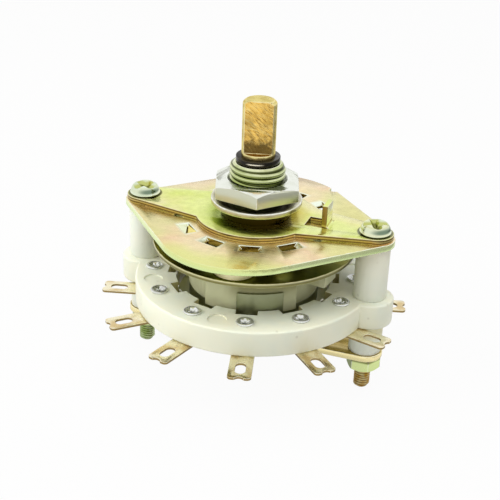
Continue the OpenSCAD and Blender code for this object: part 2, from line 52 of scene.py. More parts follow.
def makeCamera(look):
    az = math.radians(look["azimuth"])
    el = math.radians(look["elevation"])
    roll = math.radians(look["roll"])
    right = Vector((math.cos(az), math.sin(az), 0))
    back = Vector((math.sin(az) * math.cos(el), -math.cos(az) * math.cos(el), math.sin(el)))
    up = back.cross(right)
    place = right * look["aside"] + up * look["above"] + back * look["distance"]
    across = right * math.cos(roll) + up * math.sin(roll)
    upright = up * math.cos(roll) - right * math.sin(roll)
    data = bpy.data.cameras.new("photoCamera")
    data.lens = look["lens"]
    data.sensor_width = look["sensor"]
    data.clip_start, data.clip_end = look["clip"]
    camera = bpy.data.objects.new("photoCamera", data)
    turn = Matrix((across, upright, back)).transposed().to_4x4()
    camera.matrix_world = Matrix.Translation(place) @ turn
    scene.collection.objects.link(camera)
    scene.camera = camera


makeCamera(cameraLook)
print("camera placed")


# Small helpers for node trees: a new node goes in the tree of the sockets that feed it

def srgb(r, g, b):
    steps = [v / 255 for v in (r, g, b)]
    return tuple(v / 12.92 if v <= 0.04045 else ((v + 0.055) / 1.055) ** 2.4 for v in steps) + (1.0,)


def feed(value, socket):
    if isinstance(value, bpy.types.NodeSocket):
        socket.id_data.links.new(value, socket)
    else:
        socket.default_value = value


def addNode(tree, kind, inputs=None, **settings):
    node = tree.nodes.new(kind)
    for key, value in settings.items():
        setattr(node, key, value)
    for key, value in (inputs or {}).items():
        feed(value, node.inputs[key])
    return node.outputs


def nodeFrom(kind, inputs, **settings):
    tree = next(v.id_data for v in inputs.values() if isinstance(v, bpy.types.NodeSocket))
    return addNode(tree, kind, inputs, **settings)


def calc(operation, *values):
    return nodeFrom("ShaderNodeMath", dict(enumerate(values)), operation=operation)[0]


def times(mask, *others):
    for other in others:
        mask = calc("MULTIPLY", mask, other)
    return mask


def vectorCalc(operation, first, second=(0, 0, 0)):
    made = nodeFrom("ShaderNodeVectorMath", {0: first, 1: second}, operation=operation)
    return made["Value" if operation in ("DOT_PRODUCT", "LENGTH") else "Vector"]


def mapRange(value, low, high, toLow=0.0, toHigh=1.0, kind="LINEAR"):
    inputs = {0: value, 1: low, 2: high, 3: toLow, 4: toHigh}
    return nodeFrom("ShaderNodeMapRange", inputs, interpolation_type=kind)[0]


def ease(value, low, high, toLow=0.0, toHigh=1.0):
    return mapRange(value, low, high, toLow, toHigh, "SMOOTHSTEP")


hairline = 0.1 * mm  # soft edge of a painted mark


def rise(value, start, blur=hairline):
    return mapRange(value, start, start + blur)


def fall(value, start, blur=hairline, strength=1.0):
    return mapRange(value, start, start + blur, strength, 0)


def noise(place, scale, detail=2.0, roughness=0.5):
    inputs = {"Vector": place, "Scale": scale, "Detail": detail, "Roughness": roughness}
    return nodeFrom("ShaderNodeTexNoise", inputs)["Fac"]


def mixColor(factor, first, second, blend="MIX"):
    inputs = {0: factor, 6: first, 7: second}
    return nodeFrom("ShaderNodeMix", inputs, data_type="RGBA", blend_type=blend)[2]


def split(vector):
    return nodeFrom("ShaderNodeSeparateXYZ", {0: vector})


def turned(vector, rotation):
    inputs = {"Vector": vector, "Rotation": rotation}
    return nodeFrom("ShaderNodeMapping", inputs, vector_type="POINT")["Vector"]


def toward(vector, degrees):
    turn = math.radians(degrees)
    return vectorCalc("DOT_PRODUCT", vector, (math.cos(turn), math.sin(turn), 0))


def axisDistance(place):
    return vectorCalc("LENGTH", vectorCalc("MULTIPLY", place, (1, 1, 0)))


def startGroup(name, inputs, outputs, kind="ShaderNodeTree"):
    tree = bpy.data.node_groups.new(name, kind)
    for way, sockets in (("INPUT", inputs), ("OUTPUT", outputs)):
        for label, socket in sockets:
            tree.interface.new_socket(name=label, in_out=way, socket_type="NodeSocket" + socket)
    return tree, tree.nodes.new("NodeGroupInput").outputs, tree.nodes.new("NodeGroupOutput").inputs


def useGroup(group, **values):
    return nodeFrom("ShaderNodeGroup", values, node_tree=group)


# Shared surface effects

def makeChromateTint():
    inputs = [("Place", "Vector"), ("Base", "Color"), ("First", "Color"), ("Second", "Color"),
              ("Scale", "Float"), ("Spread", "Float")]
    tree, given, out = startGroup("chromateTint", inputs, [("Colour", "Color")])
    near = noise(given["Place"], given["Scale"], 3.0)
    nearMask = times(ease(near, 0.4, 0.66), given["Spread"])
    shifted = vectorCalc("ADD", given["Place"], (0.31, 0.17, 0.05))
    wide = noise(shifted, times(given["Scale"], 0.5), 2.0)
    wideMask = times(ease(wide, 0.46, 0.66), given["Spread"])
    tinted = mixColor(nearMask, given["Base"], given["First"])
    tinted = mixColor(wideMask, tinted, given["Second"])
    cloudy = noise(given["Place"], times(given["Scale"], 6.0), 4.0, 0.6)
    shade = mapRange(cloudy, 0.3, 0.7, 0.88, 1.04)
    feed(mixColor(1.0, tinted, shade, "MULTIPLY"), out["Colour"])
    return tree


def makeFineScratches():
    inputs = [("Place", "Vector"), ("Stretch", "Vector"), ("Scale", "Float")]
    tree, given, out = startGroup("fineScratches", inputs, [("Mask", "Float")])
    drawn = vectorCalc("MULTIPLY", given["Place"], given["Stretch"])
    feed(mapRange(noise(drawn, given["Scale"], 5.0, 0.65), 0.46, 0.68), out["Mask"])
    return tree


def makeMouldGrain():
    inputs = [("Place", "Vector"), ("Scale", "Float")]
    outputs = [("Height", "Float"), ("Cloud", "Float"), ("Speck", "Float")]
    tree, given, out = startGroup("mouldGrain", inputs, outputs)
    feed(noise(given["Place"], given["Scale"], 3.0, 0.6), out["Height"])
    cloud = noise(given["Place"], times(given["Scale"], 0.06), 3.0)
    feed(ease(cloud, 0.35, 0.65), out["Cloud"])
    sown = {"Vector": given["Place"], "Scale": times(given["Scale"], 0.12), "Randomness": 1.0}
    dots = nodeFrom("ShaderNodeTexVoronoi", sown)["Distance"]
    feed(mapRange(dots, 0.05, 0.11, 1.0, 0.0), out["Speck"])
    return tree


def makeSideFace():
    tree, given, out = startGroup("sideFace", [("Facing", "Vector")], [("Mask", "Float")])
    upright = calc("ABSOLUTE", split(given["Facing"])["Z"])
    feed(mapRange(upright, 0.35, 0.8, 1.0, 0.0), out["Mask"])
    return tree


def makeWornEdge():
    inputs = [("Place", "Vector"), ("Scale", "Float")]
    tree, given, out = startGroup("wornEdge", inputs, [("Mask", "Float")])
    edge = addNode(tree, "ShaderNodeAttribute", attribute_name="edge")["Fac"]
    patchy = mapRange(noise(given["Place"], given["Scale"], 3.0), 0.36, 0.6, 0.25, 1.0)
    feed(times(edge, patchy), out["Mask"])
    return tree


chromateTint = makeChromateTint()
fineScratches = makeFineScratches()
mouldGrain = makeMouldGrain()
sideFace = makeSideFace()
wornEdge = makeWornEdge()


def scratchMask(place, stretch, scale):
    return useGroup(fineScratches, Place=place, Stretch=stretch, Scale=scale)["Mask"]


def sideMask(facing):
    return useGroup(sideFace, Facing=facing)["Mask"]


def wornMask(place, scale):
    return useGroup(wornEdge, Place=place, Scale=scale)["Mask"]


def startMaterial(name, **plain):
    material = bpy.data.materials.new(name)
    material.use_nodes = True
    sockets = material.node_tree.nodes["Principled BSDF"].inputs
    for label, value in plain.items():
        sockets[label.replace("_", " ")].default_value = value
    coords = addNode(material.node_tree, "ShaderNodeTexCoord")
    return material, sockets, coords["Object"], coords["Normal"]


def coat(sockets, colour, grain, rough):
    feed(colour, sockets["Base Color"])
    feed(mapRange(grain, 0, 1, *rough), sockets["Roughness"])


def addBump(sockets, height, strength, distance):
    inputs = {"Height": height, "Strength": strength, "Distance": distance}
    feed(nodeFrom("ShaderNodeBump", inputs)["Normal"], sockets["Normal"])


print("shader groups made:", len(bpy.data.node_groups))


# Zinc with a yellow or pink passivated film, for sheet pieces, screws and nuts

bushingPlateFinish = dict(
    base=srgb(236, 244, 158), first=srgb(222, 234, 126), second=srgb(246, 236, 176), scale=150, spread=0.8,
    side=srgb(206, 184, 112), worn=srgb(240, 232, 190), rough=(0.22, 0.34))
indexPlateFinish = dict(
    base=srgb(248, 230, 184), first=srgb(246, 208, 172), second=srgb(226, 226, 150), scale=120, spread=0.8,
    side=srgb(244, 254, 192), worn=srgb(252, 255, 232), rough=(0.24, 0.36))
# The strap's cut edge is painted pale cream, a painted highlight
rearStrapFinish = dict(
    base=srgb(186, 164, 84), first=srgb(164, 138, 62), second=srgb(216, 202, 136), scale=170, spread=0.7,
    side=srgb(255, 240, 180), worn=srgb(255, 248, 214), rough=(0.24, 0.4))
tieNutFinish = dict(
    base=srgb(232, 252, 166), first=srgb(214, 236, 126), second=srgb(244, 240, 162), scale=260, spread=0.9,
    side=srgb(240, 255, 178), worn=srgb(252, 255, 230), rough=(0.14, 0.26))
tieScrewFinish = dict(
    base=srgb(236, 246, 224), first=srgb(212, 226, 190), second=srgb(242, 242, 200), scale=420, spread=0.8,
    side=srgb(222, 230, 200), worn=srgb(246, 250, 232), rough=(0.12, 0.22))
# The disc's film is set dark olive, a painted shade and dark reflection for its place under the index plate
detentDiscShadedFinish = dict(
    base=srgb(118, 126, 44), first=srgb(98, 108, 34), second=srgb(140, 140, 62), scale=140, spread=0.8,
    side=srgb(216, 212, 166), worn=srgb(226, 222, 178), rough=(0.28, 0.44))
bushingFinish = dict(
    base=srgb(228, 236, 190), first=srgb(158, 172, 92), second=srgb(236, 236, 198), scale=260, spread=0.9,
    side=srgb(204, 214, 150), sideShare=0.35, worn=srgb(252, 250, 226), rough=(0.12, 0.24))


def zincMaterial(name, finish):
    material, sockets, place, facing = startMaterial(name, Metallic=1.0)
    filmAndSheen = useGroup(chromateTint, Place=place, Base=finish["base"], First=finish["first"],
                    Second=finish["second"], Scale=finish["scale"], Spread=finish["spread"])["Colour"]
    side = sideMask(facing)
    lines = scratchMask(place, (0.25, 3.0, 1.0), 420)
    colour = mixColor(times(side, finish.get("sideShare", 1.0)), filmAndSheen, finish["side"])
    colour = mixColor(wornMask(place, 900), colour, finish["worn"])
    coat(sockets, colour, lines, finish["rough"])
    level = mapRange(side, 0.1, 0.5, 1, 0)
    addBump(sockets, times(lines, level), strength=0.03, distance=0.05 * mm)
    return material


# Marks painted over a material, by the place and the facing of the surface

levelFaces = (0.8, 0.95)  # how far up a face looks, from no mark to a full one


def repaint(material, mask, colour):
    socket = material.node_tree.nodes["Principled BSDF"].inputs["Base Color"]
    feed(mixColor(mask, socket.links[0].from_socket, colour), socket)


def surfaceInputs(material):
    coords = next(n for n in material.node_tree.nodes if n.type == "TEX_COORD").outputs
    place = split(coords["Object"])
    facing = split(coords["Normal"])
    return SimpleNamespace(place=coords["Object"], x=place["X"], y=place["Y"], z=place["Z"],
                           facing=coords["Normal"], nx=facing["X"], ny=facing["Y"], nz=facing["Z"])


def onRight(at):
    return mapRange(at.x, -1 * mm, 1 * mm)


# The tab's sheet faces are painted pale, partly the film and partly a painted reflection; only its cut
# edges are brown

tabFaces = dict(low=0.3 * mm, square=(0.6, 0.8), filmAndSheen=srgb(244, 246, 206), cut=srgb(150, 124, 60))


def addTabFaces(material, tab):
    at = surfaceInputs(material)
    above = mapRange(at.z, tab["low"], tab["low"] * 2)
    for across, colour in ((at.nx, tab["filmAndSheen"]), (at.ny, tab["cut"])):
        repaint(material, times(above, mapRange(calc("ABSOLUTE", across), *tab["square"])), colour)


# Painted shade: dark lines painted across the cut edge of the upper plate, and the disc's edge painted
# darker downward

plateEdgeShade = dict(top=0.0, step=0.5 * mm, dark=srgb(84, 62, 30), strength=0.8)
discEdgeShade = dict(top=-5.0 * mm, step=1.1 * mm, dark=srgb(112, 108, 54), strength=0.85)


def addEdgeShadeLines(material, lines):
    at = surfaceInputs(material)
    side = mapRange(calc("ABSOLUTE", at.nz), 0.2, 0.5, 1, 0)
    phase = times(calc("SUBTRACT", lines["top"], at.z), 2 * math.pi / lines["step"])
    wave = mapRange(calc("COSINE", phase), -0.6, 0.6, lines["strength"], 0)
    low = fall(at.z, lines["top"] + 0.05 * mm, 0.15 * mm)
    repaint(material, times(side, wave, low), lines["dark"])


# Close round the bushing the plate is painted deeper green and gold: partly the film, partly a painted
# reflection of the dark washer and shoulder

bushingFilmAndReflection = dict(near=8.0 * mm, far=12.5 * mm, ragged=3.0 * mm, change=(-5 * mm, 8 * mm),
                   green=srgb(150, 178, 44), gold=srgb(206, 178, 58), strength=0.75)


def addBushingFilmAndReflection(material, halo):
    at = surfaceInputs(material)
    reach = calc("ADD", axisDistance(at.place), times(noise(at.place, 260, 3.0), halo["ragged"]))
    near = ease(reach, halo["near"], halo["far"], halo["strength"], 0)
    level = mapRange(calc("ABSOLUTE", at.nz), *levelFaces)
    low = fall(at.z, 0.2 * mm, 0.3 * mm)
    hue = mixColor(mapRange(at.x, *halo["change"]), halo["green"], halo["gold"])
    repaint(material, times(near, level, low), hue)


# Painted shade: the bushing's shoulder is painted dark under the washer, and its thread dark in the grooves
# and olive on the lower flanks, with a painted highlight on the crests

shoulderShade = dict(top=2.1 * mm, low=-0.1 * mm, colour=srgb(52, 42, 18))
threadShadeAndHighlight = dict(groove=4.62 * mm, crest=4.97 * mm, low=3.0 * mm, high=9.35 * mm, dark=srgb(66, 74, 20),
                   olive=srgb(170, 184, 104), bright=srgb(240, 246, 208))


def addThreadShadeAndHighlight(material, shade):
    at = surfaceInputs(material)
    inside = times(rise(at.z, shade["low"] - hairline), fall(at.z, shade["high"]))
    height = mapRange(axisDistance(at.place), shade["groove"], shade["crest"])
    under = mapRange(at.nz, -0.5, 0.3, 0.75, 0)
    lower = ease(at.nz, 0.0, 0.6, 0.85, 0)
    deep = calc("MAXIMUM", ease(height, 0.1, 0.75, 0.9, 0), under)
    # Painted highlight on the crests, painted shade on the lower flanks and in the grooves
    repaint(material, times(inside, mapRange(height, 0.85, 1.0)), shade["bright"])
    repaint(material, times(inside, lower), shade["olive"])
    repaint(material, times(inside, deep), shade["dark"])


def addShoulderShade(material, shade):
    at = surfaceInputs(material)
    below = fall(at.z, shade["top"], 0.3 * mm)
    repaint(material, times(below, mapRange(at.z, shade["low"], 0)), shade["colour"])


# The end of the right screw is browned and that of the left one dark green

screwEnds = dict(top=-26.9 * mm, blur=0.3 * mm, right=srgb(166, 128, 44), left=srgb(146, 164, 96))


def addScrewEnds(material, ends):
    at = surfaceInputs(material)
    below = fall(at.z, ends["top"] - ends["blur"], ends["blur"])
    patch = mapRange(noise(at.place, 700, 3.0), 0.35, 0.6, 0.6, 1.0)
    repaint(material, times(below, patch), mixColor(onRight(at), ends["left"], ends["right"]))


# Painted shadow: a dark ring on the plate round the screw heads, and on the washer under the nut; a spacing
# of 0 is the shaft's axis

headSeatShadow = dict(spacing=44 * mm, inner=3.0 * mm, outer=3.3 * mm, colour=srgb(58, 50, 14), strength=0.85)
washerShadowUnderNut = dict(spacing=0, inner=7.2 * mm, outer=7.9 * mm, colour=srgb(76, 68, 38), strength=0.85)


def screwDistance(at, spacing):
    aside = calc("SUBTRACT", calc("ABSOLUTE", at.x), spacing / 2)
    return axisDistance(nodeFrom("ShaderNodeCombineXYZ", {"X": aside, "Y": at.y})[0])


def addShadowRing(material, seat):
    at = surfaceInputs(material)
    reach = screwDistance(at, seat["spacing"])
    ring = ease(reach, seat["inner"], seat["outer"], seat["strength"], 0)
    repaint(material, times(ring, mapRange(at.nz, *levelFaces)), seat["colour"])


# Painted shade on the screw heads: dark on the slope toward the front right, and olive in the recess,
# darker still at its floor

headPaintedShade = dict(spacing=44 * mm, low=0.2 * mm, slope=srgb(88, 114, 94), slopeTurn=-40, collar=0.45 * mm,
                 slopeFrom=(1.9 * mm, 2.1 * mm), recess=srgb(190, 194, 88), reach=2.3 * mm, rim=1.75 * mm,
                 rimBlur=0.3 * mm, floor=0.85 * mm, floorBlur=0.25 * mm, deep=srgb(74, 70, 14))


def addHeadPaintedShade(material, shade):
    at = surfaceInputs(material)
    reach = screwDistance(at, shade["spacing"])
    slope = times(ease(at.nz, 0.45, 0.8, 0.85, 0),
                  ease(toward(at.facing, shade["slopeTurn"]), 0.4, 0.9))
    body = times(rise(at.z, shade["collar"]), slope, mapRange(reach, *shade["slopeFrom"]))
    repaint(material, body, shade["slope"])
    above = mapRange(at.z, shade["low"], shade["low"] * 1.5)
    cut = times(above, mapRange(reach, shade["reach"] * 0.9, shade["reach"], 1, 0),
                fall(at.z, shade["rim"] - shade["rimBlur"], shade["rimBlur"], 0.8))
    repaint(material, cut, shade["recess"])
    repaint(material, times(cut, fall(at.z, shade["floor"], shade["floorBlur"], 0.9)), shade["deep"])


# Painted shade on the tie nuts: darker on the facets that face left, and slightly on those that face right

nutFacetShade = dict(right=(0.35, 0.8, 0, 0.15), left=(-0.45, -0.85, 0, 0.95), dark=srgb(138, 156, 70))


def addNutFacetShade(material, facets):
    at = surfaceInputs(material)
    for side in ("right", "left"):
        repaint(material, mapRange(at.nx, *facets[side]), facets["dark"])


# The index plate carries a painted highlight on the coined lips round its windows and painted shade low on
# its rim, and is greener in front

windowHighlightsAndRimShade = dict(circle=13.5 * mm, count=12, reach=2.2 * mm, half=1.2 * mm, fade=0.5 * mm,
                  lip=srgb(246, 254, 236), inner=srgb(170, 142, 62), rimTop=-1.3 * mm, rimLow=-2.1 * mm,
                  rimShade=srgb(222, 242, 172))
bellyTint = dict(start=14.5 * mm, full=19 * mm, ragged=6 * mm, colour=srgb(226, 232, 146), strength=0.75)


def addWindowHighlightsAndRimShade(material, lips):
    at = surfaceInputs(material)
    angle = calc("ARCTAN2", at.y, at.x)
    turn = calc("FRACT", times(angle, lips["count"] / (2 * math.pi)))
    aside = calc("ABSOLUTE", calc("SUBTRACT", turn, 0.5))
    along = times(aside, 2 * math.pi * lips["circle"] / lips["count"])
    across = calc("ABSOLUTE", calc("SUBTRACT", axisDistance(at.place), lips["circle"]))
    near = times(ease(along, lips["reach"], lips["reach"] + lips["fade"], 1, 0),
                 ease(across, lips["half"], lips["half"] + lips["fade"], 1, 0))
    falling = mapRange(at.z, lips["rimTop"], lips["rimLow"])
    # Painted shade: the rim darkens downward
    repaint(material, times(sideMask(at.facing), falling), lips["rimShade"])
    # Painted highlight on the coined lips
    ramp = mapRange(at.nz, 0.9, 0.98, 1.0, 0.4)
    repaint(material, times(near, ramp), lips["lip"])
    wall = mapRange(calc("ABSOLUTE", at.nz), 0.2, 0.35, 1, 0)
    repaint(material, times(near, wall), lips["inner"])


def addBellyTint(material, tint):
    at = surfaceInputs(material)
    ragged = times(noise(at.place, 130, 2.0), tint["ragged"])
    out = calc("SUBTRACT", calc("SUBTRACT", ragged, at.y), tint["ragged"] / 2)
    mask = ease(out, tint["start"], tint["full"], 0, tint["strength"])
    repaint(material, mask, tint["colour"])


# Colours painted by height: painted shade on the drum under the disc, and on the right a warmer band on the
# lower spacer and the painted shadow of the strap on the top of the tie nut

drumShade = dict(low=-11.6 * mm, high=-7.8 * mm, colour=srgb(138, 132, 70), strength=0.9, turn=302,
                 reach=(0.78, 0.93))
spacerFoot = dict(low=-16.6 * mm, high=-17.4 * mm, colour=srgb(232, 224, 176), strength=0.8,
                  until=(-21.0 * mm, -19.2 * mm))
strapShadow = dict(low=-25.4 * mm, high=-24.95 * mm, colour=srgb(112, 112, 44), strength=0.8)


def addHeightShade(material, shade):
    at = surfaceInputs(material)
    mask = ease(at.z, shade["low"], shade["high"], 0, shade["strength"])
    if "until" in shade:
        mask = times(mask, ease(at.z, *shade["until"]))
    if "turn" in shade:
        aimed = ease(toward(at.facing, shade["turn"]), *shade["reach"], 0.1, 1)
    else:
        aimed = onRight(at)
    repaint(material, times(mask, aimed), shade["colour"])


# Nickel plate on the panel nut, the washer and the balls

nutFinish = dict(colour=srgb(240, 243, 234), tarnish=srgb(224, 228, 214), side=srgb(212, 214, 192),
                 edge=srgb(246, 246, 240), stretch=(1.0, 1.0, 6.0), rough=(0.28, 0.36))
washerFinish = dict(colour=srgb(212, 210, 186), tarnish=srgb(176, 168, 126), side=srgb(206, 200, 166),
                    edge=srgb(246, 246, 240), stretch=(3.0, 3.0, 0.5), rough=(0.3, 0.42))
nickelGrain = dict(cloud=(420, 4.0, 0.6), share=0.55, lines=700, worn=700, bump=(0.05, 0.03 * mm))


def platedMaterial(name, finish, grain):
    material, sockets, place, facing = startMaterial(name, Metallic=finish.get("metal", 1.0))
    cloud = ease(noise(place, *grain["cloud"]), 0.4, 0.66)
    lines = scratchMask(place, finish.get("stretch", (1, 1, 1)), grain["lines"])
    colour = mixColor(times(cloud, grain["share"]), finish["colour"], finish["tarnish"])
    colour = mixColor(sideMask(facing), colour, finish["side"])
    colour = mixColor(wornMask(place, grain["worn"]), colour, finish["edge"])
    coat(sockets, colour, lines, finish["rough"])
    addBump(sockets, lines, *grain["bump"])
    return material


# Painted shade in the nut's bore beside the thread, and a painted highlight on its edge

nutBoreShadeAndHighlight = dict(low=6.0 * mm, dark=srgb(100, 104, 76), bright=srgb(252, 254, 248), gap=5.22 * mm,
               edge=5.55 * mm)


def addNutBoreShadeAndHighlight(material, bore):
    at = surfaceInputs(material)
    reach = axisDistance(at.place)
    top = times(rise(at.z, bore["low"], 0.2 * mm), mapRange(at.nz, 0.5, 0.8))
    repaint(material, times(top, fall(reach, bore["edge"])), bore["bright"])
    repaint(material, times(top, fall(reach, bore["gap"], strength=0.9)), bore["dark"])


# Bronze shaft: a ground knob flat with slanting scratches and a brown stain at its foot

shaftFinish = dict(
    round=srgb(226, 214, 146), roundStain=srgb(196, 180, 108), ground=srgb(255, 208, 104),
    scratch=srgb(126, 84, 26), bright=srgb(255, 230, 150), stain=srgb(92, 72, 34), flatTurn=285,
    flatOffset=1.6 * mm, flatFoot=11.6 * mm, stainLow=12.9 * mm, stainHigh=15.1 * mm, slants=(43, 22),
    scratchScale=4600, ledge=srgb(228, 184, 100), tint=srgb(255, 244, 206), edge=srgb(250, 238, 184),
    grime=srgb(104, 80, 40), grimeTop=11.45 * mm, rough=(0.24, 0.42))


def shaftMaterial(name, finish):
    material, sockets, place, facing = startMaterial(name, Metallic=1.0, Specular_Tint=finish["tint"])
    height = split(place)["Z"]
    onPlane = rise(toward(place, finish["flatTurn"]), finish["flatOffset"] - 0.08 * mm, 0.06 * mm)
    flat = times(onPlane, rise(height, finish["flatFoot"] - hairline))
    faced = turned(place, (0, 0, -math.radians(finish["flatTurn"])))
    scratches = []
    for slant in finish["slants"]:
        slanted = turned(faced, (math.radians(slant), 0, 0))
        scratches.append(scratchMask(slanted, (0.2, 0.16, 1.0), finish["scratchScale"]))
    coarse, fine = scratches
    patch = ease(noise(faced, 330, 3.0), 0.42, 0.64)
    ground = mixColor(coarse, finish["ground"], finish["scratch"])
    ground = mixColor(times(fine, 0.8), ground, finish["bright"])
    ragged = calc("MULTIPLY_ADD", noise(faced, 620, 4.0, 0.65), 6.0 * mm, -3.0 * mm)
    foot = ease(calc("ADD", height, ragged), finish["stainLow"], finish["stainHigh"], 1, 0)
    stained = calc("MAXIMUM", times(foot, 0.9), times(patch, 0.4))
    ground = mixColor(stained, ground, finish["stain"])
    colour = mixColor(flat, mixColor(patch, finish["round"], finish["roundStain"]), ground)
    upward = mapRange(split(facing)["Z"], 0.7, 0.9)
    ledge = times(upward, fall(height, finish["flatFoot"] + hairline, 0.2 * mm))
    colour = mixColor(ledge, colour, finish["ledge"])
    uneven = calc("ADD", height, times(noise(place, 900, 3.0), 0.5 * mm))
    colour = mixColor(fall(uneven, finish["grimeTop"], 0.2 * mm, 0.8), colour, finish["grime"])
    colour = mixColor(times(wornMask(place, 600), 0.75), colour, finish["edge"])
    coat(sockets, colour, coarse, finish["rough"])
    addBump(sockets, coarse, strength=0.25, distance=0.05 * mm)
    return material


# Black spring-steel clip with a painted highlight line on its front

clipFinish = dict(
    black=srgb(20, 18, 12), brown=srgb(44, 38, 24), edge=srgb(76, 68, 46), glint=srgb(252, 246, 224),
    glintTurn=281, glintReach=26, glintHeight=10.36 * mm, glintHalf=0.15 * mm, rough=(0.14, 0.28))


def clipMaterial(name, finish):
    material, sockets, place, facing = startMaterial(name, Metallic=0.1, Specular_IOR_Level=0.22)
    cloud = mapRange(noise(place, 900, 4.0, 0.65), 0.42, 0.66)
    colour = mixColor(cloud, finish["black"], finish["brown"])
    colour = mixColor(times(wornMask(place, 800), 0.6), colour, finish["edge"])
    narrow = math.cos(math.radians(finish["glintReach"]))
    front = ease(toward(facing, finish["glintTurn"]), narrow, 1.0)
    off = calc("ABSOLUTE", calc("SUBTRACT", split(place)["Z"], finish["glintHeight"]))
    line = mapRange(off, finish["glintHalf"] * 0.2, finish["glintHalf"], 1, 0)
    coat(sockets, mixColor(times(front, line), colour, finish["glint"]), cloud, finish["rough"])
    return material


# Moulded ivory plastic of the wafer, the rotor and the spacers

waferFinish = dict(base=srgb(239, 240, 220), cool=srgb(232, 237, 221), warm=srgb(241, 237, 211),
                   speck=0.25, inside=16.3 * mm, inner=srgb(192, 184, 132))
# The rotor's ivory is set darker and more olive than the wafer's, a painted shade for a part that sits
# under the plates
rotorShadedFinish = dict(base=srgb(230, 231, 198), cool=srgb(222, 225, 190), warm=srgb(232, 230, 194),
                   speck=0.2, inside=14.3 * mm, inner=srgb(218, 219, 180))
spacerFinish = dict(base=srgb(240, 242, 227), cool=srgb(234, 239, 226), warm=srgb(242, 239, 217),
                    speck=0.15, inside=5 * mm, inner=srgb(240, 242, 227))
ivoryMarks = dict(edge=srgb(246, 244, 228), speck=srgb(150, 140, 104), rough=(0.36, 0.5))


def ivoryMaterial(name, finish, marks):
    material, sockets, place, facing = startMaterial(
        name, Subsurface_Weight=0.12, Subsurface_Scale=1.2 * mm, Subsurface_Radius=(1.0, 0.85, 0.6))
    grain = useGroup(mouldGrain, Place=place, Scale=2600)
    wide = ease(noise(place, 60, 2.0), 0.4, 0.62)
    colour = mixColor(grain["Cloud"], finish["base"], finish["cool"])
    colour = mixColor(times(wide, 0.6), colour, finish["warm"])
    colour = mixColor(times(wornMask(place, 500), 0.35), colour, marks["edge"])
    colour = mixColor(times(grain["Speck"], finish["speck"]), colour, marks["speck"])
    # Painted shade: side walls inside the given radius are painted darker olive
    inner = fall(axisDistance(place), finish["inside"], 0.3 * mm)
    colour = mixColor(times(sideMask(facing), inner), colour, finish["inner"])
    coat(sockets, colour, grain["Cloud"], marks["rough"])
    addBump(sockets, grain["Height"], strength=0.12, distance=0.03 * mm)
    return material


# Sheet brass tags, the leaf spring, the silvered contact and the tinned rivets

# The tags' cut sides are painted dark brown, painted shade on their thickness
tagFinish = dict(colour=srgb(246, 238, 206), tarnish=srgb(214, 186, 128), edge=srgb(252, 246, 222),
                 side=srgb(160, 138, 88), rough=(0.26, 0.38))
springFinish = dict(colour=srgb(250, 238, 186), tarnish=srgb(240, 224, 160), edge=srgb(250, 244, 214),
                    side=srgb(252, 242, 194), rough=(0.3, 0.45), metal=0.1)
contactFinish = dict(colour=srgb(150, 154, 120), tarnish=srgb(136, 138, 104), edge=srgb(170, 172, 140),
                     side=srgb(150, 154, 120), rough=(0.42, 0.55))
rivetFinish = dict(colour=srgb(236, 238, 236), tarnish=srgb(180, 182, 178), edge=srgb(244, 244, 240),
                   side=srgb(228, 230, 224), rough=(0.16, 0.3), metal=0.75)
stripGrain = dict(cloud=(330, 2.0, 0.5), share=0.8, lines=500, worn=900, bump=(0.02, 0.02 * mm))


# The tags' contact fingers are tinned inside the ring

fingerTin = dict(inside=15.6 * mm, blur=0.4 * mm, colour=srgb(206, 204, 190))


def addFingerTin(material, tin):
    reach = axisDistance(surfaceInputs(material).place)
    repaint(material, fall(reach, tin["inside"], tin["blur"]), tin["colour"])


yellowZinc = zincMaterial("yellowZinc", bushingPlateFinish)
addEdgeShadeLines(yellowZinc, plateEdgeShade)
addBushingFilmAndReflection(yellowZinc, bushingFilmAndReflection)
addTabFaces(yellowZinc, tabFaces)
addShadowRing(yellowZinc, headSeatShadow)
pinkZinc = zincMaterial("pinkZinc", indexPlateFinish)
addBellyTint(pinkZinc, bellyTint)
addWindowHighlightsAndRimShade(pinkZinc, windowHighlightsAndRimShade)
strapZinc = zincMaterial("strapZinc", rearStrapFinish)
tieNutZinc = zincMaterial("tieNutZinc", tieNutFinish)
addNutFacetShade(tieNutZinc, nutFacetShade)
addHeightShade(tieNutZinc, strapShadow)
tieScrewZinc = zincMaterial("tieScrewZinc", tieScrewFinish)
addScrewEnds(tieScrewZinc, screwEnds)
addHeadPaintedShade(tieScrewZinc, headPaintedShade)
discShadedZinc = zincMaterial("discShadedZinc", detentDiscShadedFinish)
addEdgeShadeLines(discShadedZinc, discEdgeShade)
paleZinc = zincMaterial("paleZinc", bushingFinish)
addShoulderShade(paleZinc, shoulderShade)
addThreadShadeAndHighlight(paleZinc, threadShadeAndHighlight)
nutNickel = platedMaterial("nutNickel", nutFinish, nickelGrain)
addNutBoreShadeAndHighlight(nutNickel, nutBoreShadeAndHighlight)
washerNickel = platedMaterial("washerNickel", washerFinish, nickelGrain)
addShadowRing(washerNickel, washerShadowUnderNut)
shaftBronze = shaftMaterial("shaftBronze", shaftFinish)
blackClip = clipMaterial("blackClip", clipFinish)
waferIvory = ivoryMaterial("waferIvory", waferFinish, ivoryMarks)
rotorIvory = ivoryMaterial("rotorIvory", rotorShadedFinish, ivoryMarks)
addHeightShade(rotorIvory, drumShade)
spacerIvory = ivoryMaterial("spacerIvory", spacerFinish, ivoryMarks)
addHeightShade(spacerIvory, spacerFoot)
tagBrass = platedMaterial("tagBrass", tagFinish, stripGrain)
addFingerTin(tagBrass, fingerTin)
springBrass = platedMaterial("springBrass", springFinish, stripGrain)
silverContact = platedMaterial("silverContact", contactFinish, stripGrain)
tinnedRivet = platedMaterial("tinnedRivet", rivetFinish, stripGrain)
print("materials made:", len(bpy.data.materials))


# Pieces

